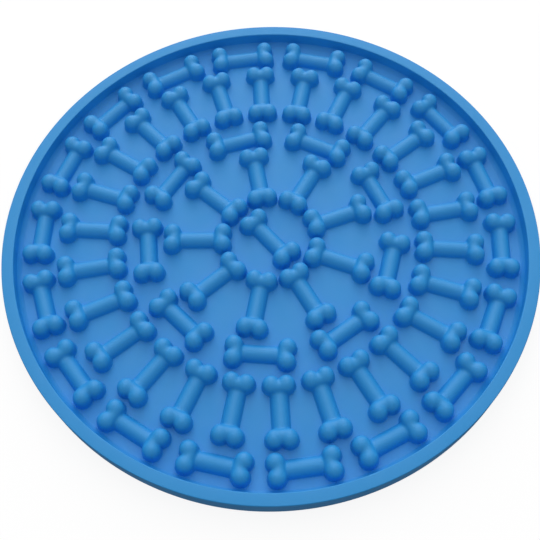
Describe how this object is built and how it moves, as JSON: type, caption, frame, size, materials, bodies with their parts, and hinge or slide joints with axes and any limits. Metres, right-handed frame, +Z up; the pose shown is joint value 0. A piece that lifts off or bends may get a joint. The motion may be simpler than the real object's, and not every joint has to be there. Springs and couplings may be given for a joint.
{
  "type": "lick mat",
  "caption": "Round shallow silicone lick mat with an upright rim and rings of raised bone shapes that hold spread soft food for a pet to lick off.",
  "frame": {"origin": "middle of the flat underside", "axes": "+Z up out of the recess, +Y towards the far side of the mat in the picture"},
  "size_m": [0.2, 0.2, 0.0096],
  "materials": {
    "blue_silicone": "matte moulded silicone"
  },
  "bodies": {
    "root": {"base_sheet": "blue_silicone", "centre_bone": "blue_silicone", "inner_hoop_bone_01": "blue_silicone", "inner_hoop_bone_02": "blue_silicone", "inner_hoop_bone_03": "blue_silicone", "inner_hoop_bone_04": "blue_silicone", "inner_hoop_bone_05": "blue_silicone", "inner_hoop_bone_06": "blue_silicone", "inner_hoop_bone_07": "blue_silicone", "inner_hoop_bone_08": "blue_silicone", "inner_hoop_bone_09": "blue_silicone", "inner_spoke_bone_01": "blue_silicone", "inner_spoke_bone_02": "blue_silicone", "inner_spoke_bone_03": "blue_silicone", "inner_spoke_bone_04": "blue_silicone", "inner_spoke_bone_05": "blue_silicone", "inner_spoke_bone_06": "blue_silicone", "inner_spoke_bone_07": "blue_silicone", "inner_spoke_bone_08": "blue_silicone", "inner_spoke_bone_09": "blue_silicone", "outer_hoop_bone_01": "blue_silicone", "outer_hoop_bone_02": "blue_silicone", "outer_hoop_bone_03": "blue_silicone", "outer_hoop_bone_04": "blue_silicone", "outer_hoop_bone_05": "blue_silicone", "outer_hoop_bone_06": "blue_silicone", "outer_hoop_bone_07": "blue_silicone", "outer_hoop_bone_08": "blue_silicone", "outer_hoop_bone_09": "blue_silicone", "outer_hoop_bone_10": "blue_silicone", "outer_hoop_bone_11": "blue_silicone", "outer_hoop_bone_12": "blue_silicone", "outer_hoop_bone_13": "blue_silicone", "outer_hoop_bone_14": "blue_silicone", "outer_hoop_bone_15": "blue_silicone", "outer_hoop_bone_16": "blue_silicone", "outer_hoop_bone_17": "blue_silicone", "outer_hoop_bone_18": "blue_silicone", "outer_spoke_bones_01": "blue_silicone", "outer_spoke_bones_02": "blue_silicone", "outer_spoke_bones_03": "blue_silicone", "outer_spoke_bones_04": "blue_silicone", "outer_spoke_bones_05": "blue_silicone", "outer_spoke_bones_06": "blue_silicone", "outer_spoke_bones_07": "blue_silicone", "outer_spoke_bones_08": "blue_silicone", "outer_spoke_bones_09": "blue_silicone", "outer_spoke_bones_10": "blue_silicone", "outer_spoke_bones_11": "blue_silicone", "outer_spoke_bones_12": "blue_silicone", "outer_spoke_bones_13": "blue_silicone", "rim_wall": "blue_silicone"}
  },
  "joints": []
}
